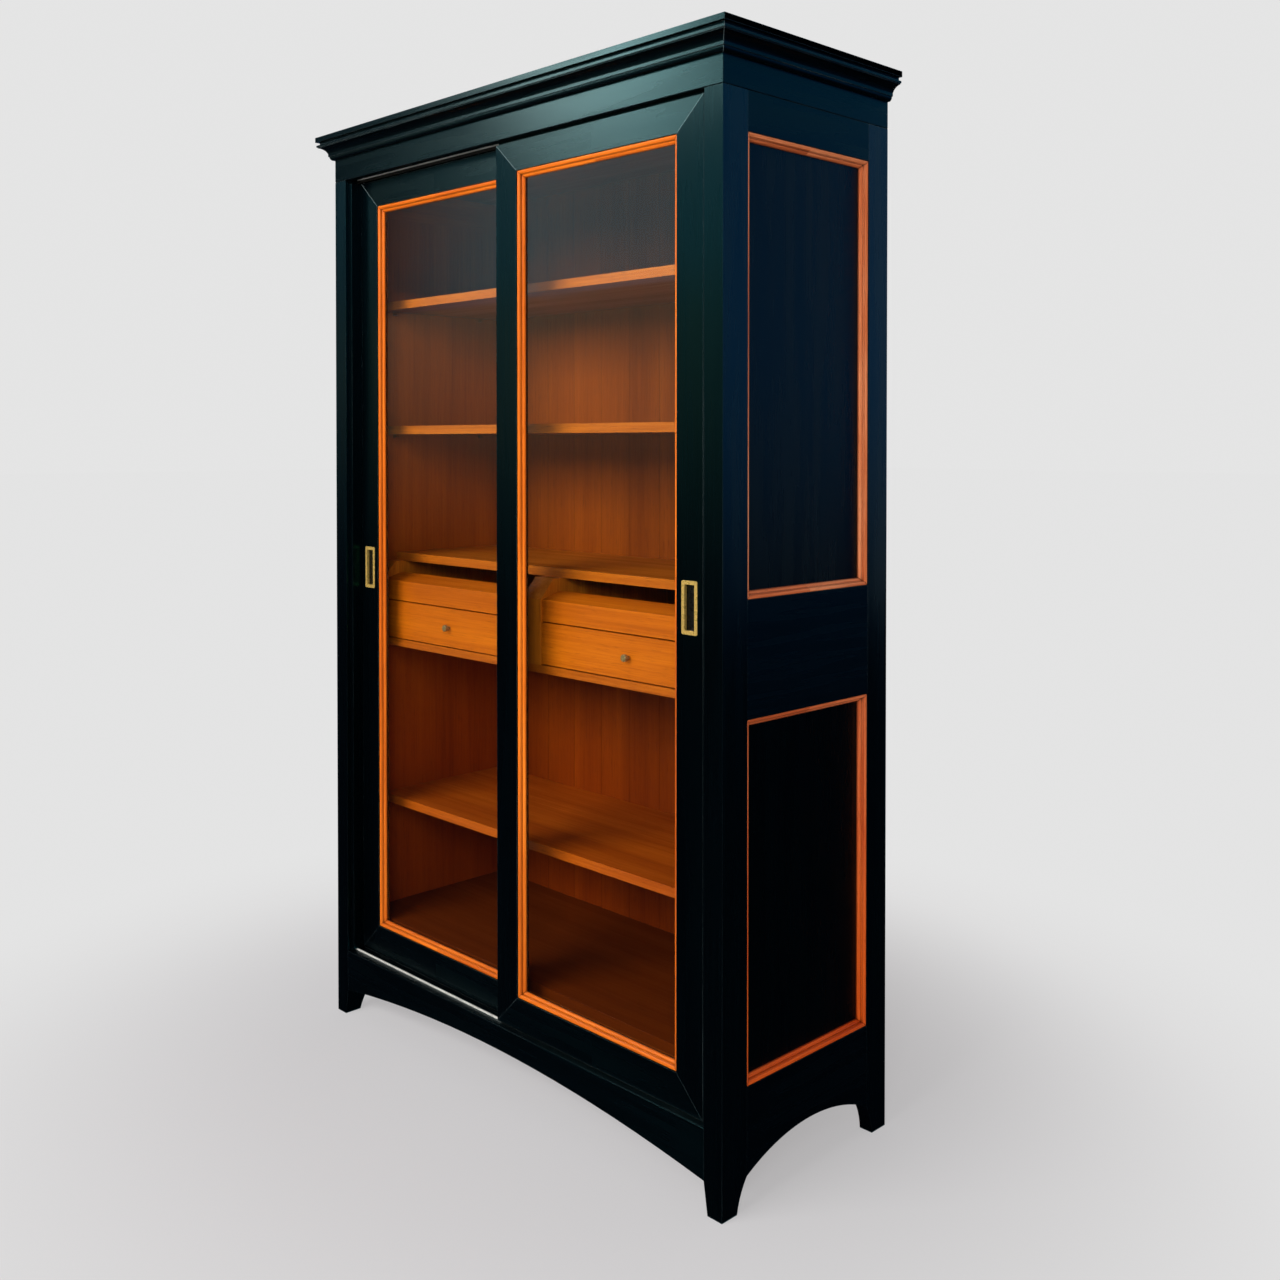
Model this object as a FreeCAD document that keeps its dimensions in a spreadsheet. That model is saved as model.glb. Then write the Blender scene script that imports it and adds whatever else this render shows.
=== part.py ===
import FreeCAD, Part
import os
import re

import Sketcher

# Bookcase with two sliding glazed doors, in millimetres.
# X runs to the right of the case, Y towards its back and Z up.
# The origin is on the floor, under the middle of the whole piece.

SIZES = {
    # Case
    "case_width": 1280,
    "case_depth": 500,
    "overall_height": 2154,
    "overrun": 5,
    # Crown
    "cap_reach": 35,
    "cap_thickness": 11.5,
    "cornice_height": 44,
    "cornice_reach": 33,
    "frieze_show": 54.5,
    "frieze_thickness": 16,
    "top_board_thickness": 18,
    "header_rise": 6,
    "header_thickness": 20,
    # Posts and feet
    "post_width": 45,
    "post_depth": 68,
    "rear_post_width": 30,
    "rear_post_depth": 64,
    "foot_height": 61,
    "foot_width": 35.5,
    "foot_depth": 41,
    "rear_foot_depth": 45,
    "foot_bow": 4,
    # Sides
    "rail_thickness": 30,
    "top_rail_height": 74,
    "middle_rail_drop": 25,
    "middle_rail_height": 219,
    "arched_rail_level": 225,
    "side_arch_rise": 44,
    "panel_thickness": 14,
    "moulding_width": 15,
    "moulding_set": 1,
    # Base and back
    "front_arch_rise": 45,
    "apron_thickness": 22,
    "sill_level": 157,
    "sill_thickness": 20,
    "floor_level": 243,
    "floor_thickness": 22,
    "bearer_thickness": 16,
    "back_thickness": 10,
    "back_inset": 4,
    "back_seam": 0.8,
    # Doors
    "door_overlap": 38,
    "door_side_gap": 12,
    "door_thickness": 22,
    "outer_door_inset": 10,
    "inner_door_inset": 38,
    "door_foot_gap": 5.5,
    "door_head_gap": 6,
    "tongue_height": 9,
    "tongue_thickness": 15,
    "stile_width": 67,
    "head_rail_width": 61.5,
    "foot_rail_width": 67,
    "lip_width": 12,
    "lip_thickness": 3.5,
    "glass_thickness": 4,
    "glass_gap": 1,
    "bead_width": 15.5,
    "bead_height": 12.5,
    "stop_gap": 0.5,
    "stop_foot_gap": 5,
    "stop_head_gap": 8,
    # Tracks, guide and rollers
    "track_width": 3,
    "track_height": 3.5,
    "guide_sheet": 1.5,
    "flange_thickness": 2,
    "flange_drop": 3.5,
    "guide_gap": 2,
    "roller_radius": 12,
    "roller_width": 4,
    "roller_play": 0.3,
    "roller_inset": 80,
    "roller_head_gap": 2,
    "axle_radius": 2,
    "axle_play": 0.05,
    "housing_length": 34,
    "housing_width": 8,
    "housing_wall": 1.5,
    "housing_drop": 3.8,
    # Flush pulls
    "pull_rise": 177,
    "pull_width": 40,
    "pull_height": 100,
    "pull_rim": 7.5,
    "pull_round": 4,
    "pull_plate": 1,
    "cup_inset": 3,
    "cup_depth": 8,
    "cup_floor": 1.5,
    # Shelves and pegs
    "shelf_thickness": 20,
    "shelf_inset": 112,
    "shelf_gap": 1,
    "upper_shelf_share": 0.6834,
    "middle_shelf_share": 0.3467,
    "lower_shelf_share": 0.4164,
    "desk_rise": 204.5,
    "desk_shelf_inset": 155,
    "peg_width": 8,
    "peg_play": 0.1,
    "peg_socket": 9,
    "peg_reach": 14,
    "front_peg_inset": 150,
    "rear_peg_inset": 418,
    # Drawer case
    "case_floor_share": 0.4525,
    "case_bottom_thickness": 17,
    "case_bearer_width": 12,
    "case_bearer_height": 18,
    "outer_upright": 36,
    "middle_upright": 62,
    "upright_inset": 90,
    "shoulder_rise": 142,
    "shoulder_depth": 38,
    "fascia_inset": 94,
    "fascia_rise": 95.5,
    "fascia_height": 46.5,
    "fascia_thickness": 16,
    "slope_depth": 51,
    "slope_rise": 15,
    "slope_board_thickness": 10,
    # Drawers and knobs
    "drawer_inset": 92,
    "drawer_reveal": 3,
    "drawer_front_thickness": 18,
    "drawer_front_gap": 1.5,
    "drawer_side_gap": 2,
    "drawer_side_thickness": 10,
    "drawer_side_height": 75,
    "drawer_back_gap": 16,
    "drawer_run_gap": 0.3,
    "drawer_bottom_thickness": 5,
    "drawer_bottom_rise": 6,
    "knob_reach": 16,
    "knob_radius": 7.5,
    "knob_stem_radius": 4,
    "knob_head": 8,
    "knob_crown": 1.5,
    "knob_flat_radius": 6,
}

# Places and sizes that follow from the sheet.
DERIVED = {
    "right": "case_width / 2",
    "front": "(cap_reach - case_depth) / 2",
    "back": "(cap_reach + case_depth) / 2",
    "cornice_top": "overall_height - cap_thickness",
    "head_level": "cornice_top - cornice_height - frieze_show",
    "frieze_height": "cornice_height + frieze_show",
    "opening_width": "case_width - 2 * post_width",
    "inner_width": "case_width - 2 * rail_thickness",
    "side_span": "case_depth - post_depth - rear_post_depth",
    "side_front": "front + post_depth",
    "panel_recess": "rail_thickness - panel_thickness",
    "case_floor_level": "head_level * case_floor_share",
    "middle_rail_level": "case_floor_level - middle_rail_drop",
    "middle_rail_top": "middle_rail_level + middle_rail_height",
    "top_rail_level": "head_level - top_rail_height",
    "inner_back": "back - back_inset - back_thickness",
    "floor_underside": "floor_level - floor_thickness",
    "guide_top": "head_level + header_rise",
    "header_front": "front + frieze_thickness",
    "outer_flange": "front + outer_door_inset + door_thickness + guide_gap",
    "inner_flange": "front + inner_door_inset + door_thickness + guide_gap",
    "door_foot": "sill_level + door_foot_gap",
    "door_width": "(opening_width + door_overlap) / 2 - door_side_gap",
    "door_height": "head_level - door_head_gap - door_foot",
    "glazed_width": "door_width - 2 * stile_width",
    "glazed_height": "door_height - head_rail_width - foot_rail_width",
    "track_top": "sill_level + track_height",
    "axle_level": "track_top + roller_play + roller_radius - door_foot",
    "housing_height": "axle_level + roller_radius + roller_head_gap + housing_wall",
    "shelf_width": "inner_width - 2 * shelf_gap",
    "shelf_depth": "inner_back - shelf_gap - front - shelf_inset",
    "desk_shelf_level": "case_floor_level + desk_rise",
    "desk_underside": "desk_shelf_level - shelf_thickness",
    "upper_shelf_level": "desk_shelf_level + (head_level - desk_shelf_level) * upper_shelf_share",
    "middle_shelf_level": "desk_shelf_level + (head_level - desk_shelf_level) * middle_shelf_share",
    "lower_shelf_level": "floor_level + (case_floor_level - floor_level) * lower_shelf_share",
    "pull_level": "case_floor_level + pull_rise",
    "shoulder_level": "case_floor_level + shoulder_rise",
    "fascia_level": "case_floor_level + fascia_rise",
    "bay_width": "(shelf_width - middle_upright - 2 * outer_upright) / 2",
    "drawer_front_level": "case_floor_level + drawer_reveal",
    "drawer_front_height": "fascia_level - drawer_reveal - drawer_front_level",
    "drawer_box_width": "bay_width - 2 * drawer_side_gap",
    "drawer_box_depth": "inner_back - drawer_back_gap - front - drawer_inset - drawer_front_thickness",
    "knob_level": "drawer_front_level + drawer_front_height / 2",
}

BACK_BOARD_COUNT = 12

# Section of the glazing bead and panel moulding, walked from the outer foot over the top to the inner foot,
# as shares of its width and height. A third share bows the next edge outwards by that part of the width.
MOULDING_SHARES = (
    (0, 0),
    (0, 0.86),
    (0.08, 0.86),
    (0.08, 1),
    (0.20, 1, 0.08),
    (0.58, 0.62),
    (0.58, 0.50),
    (0.65, 0.50, 0.05),
    (0.94, 0.12),
    (1, 0.12),
    (1, 0),
)

# Sections of the cornice and the frieze, from their lower back edge round the outside, as shares of their
# reach and height. The cornice has a recess under the cap, a fillet, a cove, a fillet and a quarter round.
CORNICE_SHARES = (
    (0, 0),
    (0, 1),
    (0.82, 1),
    (0.82, 0.83),
    (1, 0.83),
    (1, 0.73),
    (0.93, 0.73),
    (0.93, 0.69, -0.10),
    (0.38, 0.35),
    (0.38, 0.21),
    (0.31, 0.21, 0.05),
    (0.15, 0),
)
FRIEZE_SHARES = (
    (0, 0),
    (0, 1),
    (1, 1),
    (1, 0.02),
    (0.88, 0),
)

doc = FreeCAD.newDocument("Bookcase")
sheet = doc.addObject("Spreadsheet::Sheet", "Sizes")
for row, (alias, number) in enumerate(SIZES.items(), start=1):
    sheet.set(f"A{row}", alias)
    sheet.set(f"B{row}", str(number))
    sheet.setAlias(f"B{row}", alias)
doc.recompute()

nodes = []


def linked(text):
    """Turn the plain names in a formula into links to the sheet's cells."""

    def link(match):
        word = match.group(0)
        if word in DERIVED:
            return "(" + linked(DERIVED[word]) + ")"
        return "Sizes." + word if word in SIZES else word

    return re.sub(r"[a-z][a-z_]*", link, str(text))


def value(text):
    """Give the number that a formula has now."""
    return float(sheet.evalExpression(linked(text)))


def bind(item, prop, text):
    item.setExpression(prop, linked(text))


def place(item, x, y, z, rotation=None):
    """Set an object's turn and bind its place."""
    if rotation:
        item.Placement = FreeCAD.Placement(FreeCAD.Vector(), rotation)
    for axis, text in zip("xyz", (x, y, z)):
        bind(item, f"Placement.Base.{axis}", text)


def keep(item):
    """Note an object as a sub-part of its own."""
    nodes.append(item)
    return item


def block(name, corner, extent):
    """A rectangular board from its low corner and its sizes along X, Y and Z."""
    box = doc.addObject("Part::Box", name)
    for prop, text in zip(("Length", "Width", "Height"), extent):
        bind(box, prop, text)
    place(box, *corner)
    return box


def rod(name, radius, length, base, direction):
    """A round rod that starts at base and runs along direction."""
    cylinder = doc.addObject("Part::Cylinder", name)
    bind(cylinder, "Radius", radius)
    bind(cylinder, "Height", length)
    place(cylinder, *base, FreeCAD.Rotation(FreeCAD.Vector(0, 0, 1), FreeCAD.Vector(*direction)))
    return cylinder


def group(name, members):
    """Separate solids that share one node."""
    compound = doc.addObject("Part::Compound", name)
    compound.Links = members
    return keep(compound)


def cut(name, base, tool):
    result = doc.addObject("Part::Cut", name)
    result.Base = base
    result.Tool = tool
    return result


def fuse(name, base, tool):
    result = doc.addObject("Part::Fuse", name)
    result.Base = base
    result.Tool = tool
    return result


def new_body(name):
    return doc.addObject("PartDesign::Body", name)


def add_loop(sketch, corners):
    """Draw one closed outline whose corners, and the radius of each bowed edge, are bound to the sheet."""
    points = [FreeCAD.Vector(value(corner[0]), value(corner[1]), 0) for corner in corners]
    count = len(corners)
    heads = []
    for index, corner in enumerate(corners):
        start = points[index]
        stop = points[(index + 1) % count]
        if len(corner) == 3:
            chord = stop - start
            sideways = FreeCAD.Vector(-chord.y, chord.x, 0).normalize()
            middle = (start + stop) / 2 + sideways * value(corner[2])
            edge = Part.Arc(start, middle, stop)
        else:
            edge = Part.LineSegment(start, stop)
        number = sketch.addGeometry(edge, False)
        near = (sketch.getPoint(number, 1) - start).Length
        far = (sketch.getPoint(number, 2) - start).Length
        heads.append((number, 1 if near < far else 2))
    for index, corner in enumerate(corners):
        number, head = heads[index]
        after = corners[(index + 1) % count]
        sketch.addConstraint(Sketcher.Constraint("Coincident", number, 3 - head, *heads[(index + 1) % count]))
        for kind, text, now in zip(("DistanceX", "DistanceY"), corner, (points[index].x, points[index].y)):
            constraint = sketch.addConstraint(Sketcher.Constraint(kind, -1, 1, number, head, now))
            bind(sketch, f"Constraints[{constraint}]", text)
        if len(corner) == 3:
            chord_squared = f"(({after[0]}) - ({corner[0]}))^2 + (({after[1]}) - ({corner[1]}))^2"
            radius = f"(({chord_squared}) / 4 + ({corner[2]})^2) / (2 * abs({corner[2]}))"
            constraint = sketch.addConstraint(Sketcher.Constraint("Radius", number, value(radius)))
            bind(sketch, f"Constraints[{constraint}]", radius)


def outline(body, plane, loops, offset=None):
    """A sketch of closed outlines on one of the body's own planes, which offset moves along its normal."""
    sketch = body.newObject("Sketcher::SketchObject", body.Name + "_outline")
    origin_plane = next(item for item in body.Origin.OriginFeatures if item.Role == plane)
    sketch.AttachmentSupport = (origin_plane, [""])
    sketch.MapMode = "FlatFace"
    if offset:
        bind(sketch, "AttachmentOffset.Base.z", offset)
    for corners in loops:
        add_loop(sketch, corners)
    return sketch


def pad(body, plane, corners, length):
    """Thicken an outline along its plane's normal: +Z on XY, -Y on XZ and +X on YZ."""
    feature = body.newObject("PartDesign::Pad", body.Name + "_pad")
    feature.Profile = outline(body, plane, [corners])
    bind(feature, "Length", length)
    doc.recompute()
    return feature


def pocket(body, plane, loops, depth, offset=None, along_normal=False):
    """Cut outlines out of the body, and make sure that something was cut."""
    before = body.Shape.Volume
    feature = body.newObject("PartDesign::Pocket", body.Name + "_pocket")
    feature.Profile = outline(body, plane, loops, offset)
    feature.Reversed = along_normal
    bind(feature, "Length", depth)
    doc.recompute()
    if not body.Shape.Volume < before:
        raise RuntimeError(f"{body.Label}: a pocket cut nothing")
    return feature


def rectangle(low, high):
    return [low, (high[0], low[1]), high, (low[0], high[1])]


def from_side(side, inset, thickness="0"):
    """Low X of something that lies inset behind a side of the case and is thickness wide."""
    return f"-right + {inset}" if side == "left" else f"right - ({inset}) - ({thickness})"


def section(shares, width, height):
    """Corners of a moulding's section from its shares."""
    corners = []
    for across, up, *bow in shares:
        corners.append((f"{across} * {width}", f"{up} * {height}", *[f"{part} * {width}" for part in bow]))
    return corners


def stick(name, shares, width, height, length, ends):
    """A moulding along X from 0, with its section's width along Y and its height along Z.

    Each end is square, inside (the far side shorter) or outside (the far side longer, by its width).
    """
    body = new_body(name)
    added = ends.count("outside")
    full = f"({length} + {added} * {width})"
    pad(body, "YZ_Plane", section(shares, width, height), full)
    far = f"{width} + overrun"
    loops = []
    for end, along in zip(ends, ("{0}", full + " - ({0})")):
        if end == "inside":
            points = (("-overrun", "-overrun"), ("-overrun", far), (far, far))
        elif end == "outside":
            points = (("-overrun", "-overrun"), (far, "-overrun"), ("-overrun", far))
        else:
            continue
        loops.append([(along.format(x), y) for x, y in points])
    pocket(body, "XY_Plane", loops, f"{height} + overrun", along_normal=True)
    return body


def turn(along, across):
    """The turn that takes X to along and Y to across."""
    return FreeCAD.Rotation(along, across, along.cross(across), "XYZ")


def ring(name, corner, size, outward, width, height):
    """Four mitred sticks lying round the inside of an upright rectangle that faces outward."""
    up = FreeCAD.Vector(0, 0, 1)
    level = up.cross(outward)
    spans = ((0, 0, level, up), (1, 0, up, -level), (1, 1, -level, -up), (0, 1, -up, level))
    members = []
    for number, (across, above, along, inward) in enumerate(spans, start=1):
        length = size[0] if along.z == 0 else size[1]
        member = stick(f"{name}_{number}", MOULDING_SHARES, width, height, length, ("inside", "inside"))
        base = (
            f"{corner[0]} + {across} * {level.x} * ({size[0]})",
            f"{corner[1]} + {across} * {level.y} * ({size[0]})",
            f"{corner[2]} + {above} * ({size[1]})",
        )
        place(member, *base, turn(along, inward))
        members.append(member)
    return members


def make_posts():
    """Posts from the floor to the crown, with feet that curve in below the side arches."""
    for side in ("left", "right"):
        body = keep(new_body(f"post_front_{side}"))
        profile = [
            ("0", "0"),
            ("foot_depth", "0", "foot_bow"),
            ("post_depth", "foot_height"),
            ("post_depth", "head_level"),
            ("0", "head_level"),
        ]
        pad(body, "YZ_Plane", profile, "post_width")
        slope = [("foot_width", "0"), ("post_width", "foot_height"), ("post_width + overrun", "foot_height")]
        slope += [("post_width + overrun", "-overrun"), ("foot_width", "-overrun")]
        if side == "right":
            slope = [(f"post_width - ({x})", z) for x, z in slope]
        pocket(body, "XZ_Plane", [slope], "post_depth + overrun")
        place(body, from_side(side, "0", "post_width"), "front", "0")

        body = keep(new_body(f"post_rear_{side}"))
        profile = [
            ("rear_post_depth - rear_foot_depth", "0"),
            ("rear_post_depth", "0"),
            ("rear_post_depth", "head_level"),
            ("0", "head_level"),
            ("0", "foot_height", "foot_bow"),
        ]
        pad(body, "YZ_Plane", profile, "rear_post_width")
        place(body, from_side(side, "0", "rear_post_width"), "back - rear_post_depth", "0")


def peg_levels():
    """Low edge of the pegs below each shelf that rests on them."""
    shelves = ("upper", "middle", "lower")
    return {name: f"{name}_shelf_level - shelf_thickness - peg_play - peg_width" for name in shelves}


def peg_bar(name, side, inset, level, reach, play):
    """A square bar along X from the end of a socket to reach inside the face of the panel."""
    across = f"peg_width + 2 * {play}"
    x = from_side(side, "rail_thickness - peg_socket", f"peg_socket + {reach}")
    corner = (x, f"front + {inset} - ({across}) / 2", f"{level} - {play}")
    return block(name, corner, (f"peg_socket + {reach}", across, across))


def side_panel(name, side, low, high, levels):
    """A panel behind the mouldings, with peg sockets in its inner face."""
    corner = (from_side(side, "panel_recess", "panel_thickness"), "side_front", low)
    board = block(f"{name}_board", corner, ("panel_thickness", "side_span", f"{high} - ({low})"))
    sockets = []
    for level in levels:
        for inset in ("front_peg_inset", "rear_peg_inset"):
            sockets.append(peg_bar(f"{name}_socket", side, inset, level, "overrun", "peg_play"))
    tool = doc.addObject("Part::Compound", f"{name}_sockets")
    tool.Links = sockets
    return cut(f"{name}_panel", board, tool)


def make_sides():
    """Rails, panels and mitred panel mouldings between the front and rear posts."""
    levels = peg_levels()
    upper = [levels["upper"], levels["middle"]]
    lower = [levels["lower"]]
    for side in ("left", "right"):
        sign = 1 if side == "right" else -1
        x = from_side(side, "0", "rail_thickness")
        extent = ("rail_thickness", "side_span", "top_rail_height")
        keep(block(f"side_rail_top_{side}", (x, "side_front", "top_rail_level"), extent))
        extent = ("rail_thickness", "side_span", "middle_rail_height")
        keep(block(f"side_rail_middle_{side}", (x, "side_front", "middle_rail_level"), extent))

        body = keep(new_body(f"side_rail_arched_{side}"))
        profile = [
            ("0", "foot_height", "side_arch_rise"),
            ("side_span", "foot_height"),
            ("side_span", "arched_rail_level"),
            ("0", "arched_rail_level"),
        ]
        pad(body, "YZ_Plane", profile, "rail_thickness")
        place(body, x, "side_front", "0")

        fields = (
            ("upper", "middle_rail_top", "top_rail_level", upper),
            ("lower", "arched_rail_level", "middle_rail_level", lower),
        )
        panels = []
        sticks = []
        start = "side_front" if side == "right" else "side_front + side_span"
        for field, low, high, sockets in fields:
            panels.append(side_panel(f"side_{side}_{field}", side, low, high, sockets))
            corner = (f"{sign} * (right - panel_recess)", start, low)
            size = ("side_span", f"{high} - ({low})")
            outward = FreeCAD.Vector(sign, 0, 0)
            name = f"moulding_{side}_{field}"
            sticks += ring(name, corner, size, outward, "moulding_width", "(panel_recess - moulding_set)")
        group(f"side_panels_{side}", panels)
        group(f"panel_mouldings_{side}", sticks)


def make_base():
    """Arched apron, sill, bearers, bottom board and back boards."""
    body = keep(new_body("front_apron"))
    profile = [
        ("0", "foot_height", "front_arch_rise"),
        ("opening_width", "foot_height"),
        ("opening_width", "sill_level"),
        ("0", "sill_level"),
    ]
    pad(body, "XZ_Plane", profile, "apron_thickness")
    place(body, "-opening_width / 2", "front + apron_thickness", "0")

    sill_foot = "sill_level - sill_thickness"
    corner = ("-opening_width / 2", "front + apron_thickness", sill_foot)
    keep(block("door_sill", corner, ("opening_width", "post_depth - apron_thickness", "sill_thickness")))

    bearer = ("inner_width", "bearer_thickness", f"floor_underside - ({sill_foot})")
    keep(block("floor_bearer_front", ("-inner_width / 2", "side_front", sill_foot), bearer))
    keep(block("floor_bearer_rear", ("-inner_width / 2", "inner_back - bearer_thickness", sill_foot), bearer))
    extent = ("inner_width", "inner_back - side_front", "floor_thickness")
    keep(block("bottom_board", ("-inner_width / 2", "side_front", "floor_underside"), extent))

    pitch = f"(case_width - 2 * rear_post_width + back_seam) / {BACK_BOARD_COUNT}"
    boards = []
    for number in range(BACK_BOARD_COUNT):
        corner = (f"-right + rear_post_width + {number} * {pitch}", "inner_back", "floor_underside")
        height = "head_level - (floor_underside)"
        extent = (f"{pitch} - back_seam", "back_thickness", height)
        boards.append(block(f"back_board_{number + 1}", corner, extent))
    group("back_boards", boards)


def surround(name, shares, width, height, inset, level):
    """Mitred sticks along the front and both sides, their backs inset behind the faces of the case."""
    ahead = FreeCAD.Vector(0, -1, 0)
    aside = FreeCAD.Vector(1, 0, 0)
    across = f"case_width - 2 * {inset}"
    along = f"case_depth - {inset}"
    runs = (
        ("front", ahead, across, ("outside", "outside"), f"right - {inset} + {width}", f"front + {inset}"),
        ("right", aside, along, ("square", "outside"), f"right - {inset}", "back"),
        ("left", -aside, along, ("outside", "square"), f"-right + {inset}", f"front + {inset} - {width}"),
    )
    sticks = []
    for side, outward, length, ends, x, y in runs:
        body = stick(f"{name}_{side}", shares, width, height, length, ends)
        place(body, x, y, level, turn(outward.cross(FreeCAD.Vector(0, 0, 1)), outward))
        sticks.append(body)
    return sticks


def make_crown():
    """Frieze, cornice, cap and the boards inside the crown."""
    thickness = "frieze_thickness"
    boards = surround("frieze", FRIEZE_SHARES, thickness, "frieze_height", thickness, "head_level")
    keep(boards[0])
    group("frieze_sides", boards[1:])
    crown_width = "case_width - 2 * frieze_thickness"
    corner = ("-right + frieze_thickness", "back - frieze_thickness", "head_level")
    keep(block("frieze_rear", corner, (crown_width, "frieze_thickness", "frieze_height")))

    level = "cornice_top - cornice_height"
    sticks = surround("cornice", CORNICE_SHARES, "cornice_reach", "cornice_height", "0", level)
    group("cornice", sticks)

    extent = ("case_width + 2 * cap_reach", "case_depth + cap_reach", "cap_thickness")
    keep(block("cap_board", ("-right - cap_reach", "front - cap_reach", "cornice_top"), extent))

    header_back = "inner_flange + flange_thickness + guide_gap"
    corner = ("-right + frieze_thickness", "header_front", "guide_top")
    keep(block("header_board", corner, (crown_width, f"{header_back} - header_front", "header_thickness")))
    corner = ("-right + frieze_thickness", header_back, "head_level")
    depth = f"back - frieze_thickness - ({header_back})"
    keep(block("top_board", corner, (crown_width, depth, "top_board_thickness")))


def make_running_gear():
    """Tracks on the sill, the guide under the header and the stop battens on the posts."""
    tracks = []
    for name, inset in (("outer", "outer_door_inset"), ("inner", "inner_door_inset")):
        y = f"front + {inset} + (door_thickness - track_width) / 2"
        extent = ("opening_width", "track_width", "track_height")
        tracks.append(block(f"track_{name}", ("-opening_width / 2", y, "sill_level"), extent))
    group("door_tracks", tracks)

    body = keep(new_body("door_guide"))
    base = "guide_top - guide_sheet"
    foot = "head_level - flange_drop"
    profile = [("outer_flange", "guide_top"), ("outer_flange", foot)]
    profile += [("outer_flange + flange_thickness", foot), ("outer_flange + flange_thickness", base)]
    profile += [("inner_flange", base), ("inner_flange", foot)]
    profile += [("inner_flange + flange_thickness", foot), ("inner_flange + flange_thickness", "guide_top")]
    pad(body, "YZ_Plane", profile, "opening_width")
    place(body, "-opening_width / 2", "0", "0")

    thickness = "door_side_gap - stop_gap"
    height = "head_level - stop_head_gap - sill_level - stop_foot_gap"
    depth = "inner_door_inset + door_thickness - outer_door_inset"
    stops = []
    for side in ("left", "right"):
        x = from_side(side, "post_width", thickness)
        corner = (x, "front + outer_door_inset", "sill_level + stop_foot_gap")
        stops.append(block(f"stop_{side}", corner, (thickness, depth, height)))
    group("door_stops", stops)


def frame_member(name, length, width, start, stop):
    """A door member along X with a lip for the glass: its back is at Y 0, its outer edge at Z 0.

    Its ends are mitred, and start and stop are the widths of the members that it meets there.
    """
    body = new_body(name)
    outer = [("0", "0"), (length, "0"), (f"{length} - {stop}", width)]
    pad(body, "XZ_Plane", [*outer, (start, width)], "door_thickness")
    edge = f"{width} + lip_width"
    lip = [(f"{length} - {stop} - lip_width", edge), (f"{start} + lip_width", edge), (start, width)]
    pad(body, "XZ_Plane", [*outer, *lip], "lip_thickness")
    return body


def make_door_frame(name, x, y, pull_side):
    """Two stiles and two rails: a tongue on the head, mortises in the foot, a recess in one stile."""
    up = FreeCAD.Vector(0, 0, 1)
    aside = FreeCAD.Vector(1, 0, 0)
    behind = FreeCAD.Vector(0, 1, 0)
    foot = frame_member(f"{name}_rail_bottom", "door_width", "foot_rail_width", "stile_width", "stile_width")
    half = "housing_length / 2"
    seat = ("(-door_thickness - housing_width) / 2", "(-door_thickness + housing_width) / 2")
    mortises = []
    for centre in ("roller_inset", "(door_width - roller_inset)"):
        mortises.append(rectangle((f"{centre} - {half}", seat[0]), (f"{centre} + {half}", seat[1])))
    pocket(foot, "XY_Plane", mortises, "housing_height", along_normal=True)
    place(foot, x, f"{y} + door_thickness", "door_foot")

    head = frame_member(f"{name}_rail_top", "door_width", "head_rail_width", "stile_width", "stile_width")
    tongue = rectangle(("0", "-tongue_height"), ("door_width", "0"))
    pad(head, "XZ_Plane", tongue, "tongue_thickness")
    place(head, f"{x} + door_width", f"{y} + door_thickness", "door_foot + door_height",
          FreeCAD.Rotation(-aside, behind, -up, "XYZ"))

    stiles = []
    ends = {"left": ("head_rail_width", "foot_rail_width"), "right": ("foot_rail_width", "head_rail_width")}
    for side, rails in ends.items():
        stile = frame_member(f"{name}_stile_{side}", "door_height", "stile_width", *rails)
        middle = "pull_level - door_foot"
        along = middle if side == "right" else f"(door_height - ({middle}))"
        if side == pull_side:
            low = (f"{along} - pull_height / 2 + cup_inset", "(stile_width - pull_width) / 2 + cup_inset")
            high = (f"{along} + pull_height / 2 - cup_inset", "(stile_width + pull_width) / 2 - cup_inset")
            pocket(stile, "XZ_Plane", [rectangle(low, high)], "cup_depth", offset="door_thickness")
        if side == "right":
            place(stile, f"{x} + door_width", f"{y} + door_thickness", "door_foot",
                  FreeCAD.Rotation(up, behind, -aside, "XYZ"))
        else:
            place(stile, x, f"{y} + door_thickness", "door_foot + door_height",
                  FreeCAD.Rotation(-up, behind, aside, "XYZ"))
        stiles.append(stile)
    group(f"{name}_frame", [foot, head, *stiles])


def rounded(width, height, radius):
    """Corners of an upright rectangle with quarter rounds."""
    bow = f"{radius} * (1 - sqrt(1 / 2))"
    across = f"{width} - {radius}"
    above = f"{height} - {radius}"
    corners = [("0", radius), ("0", above, bow), (radius, height), (across, height, bow)]
    return corners + [(width, above), (width, radius, bow), (across, "0"), (radius, "0", bow)]


def make_pull(name, x, y):
    """A flush pull: a rim on the door's face and a hollow cup let into the stile, centred on x."""
    z = "pull_level - pull_height / 2"
    left = f"{x} - pull_width / 2"
    plate = new_body(f"{name}_rim")
    pad(plate, "XZ_Plane", rounded("pull_width", "pull_height", "pull_round"), "pull_plate")
    place(plate, left, y, z)
    corner = (f"{left} + cup_inset", y, f"{z} + cup_inset")
    extent = ("pull_width - 2 * cup_inset", "cup_depth", "pull_height - 2 * cup_inset")
    cup = block(f"{name}_cup", corner, extent)
    corner = (f"{left} + pull_rim", f"{y} - pull_plate - overrun", f"{z} + pull_rim")
    depth = "pull_plate + overrun + cup_depth - cup_floor"
    extent = ("pull_width - 2 * pull_rim", depth, "pull_height - 2 * pull_rim")
    hollow = block(f"{name}_hollow", corner, extent)
    keep(cut(name, fuse(f"{name}_shell", plate, cup), hollow))


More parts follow.
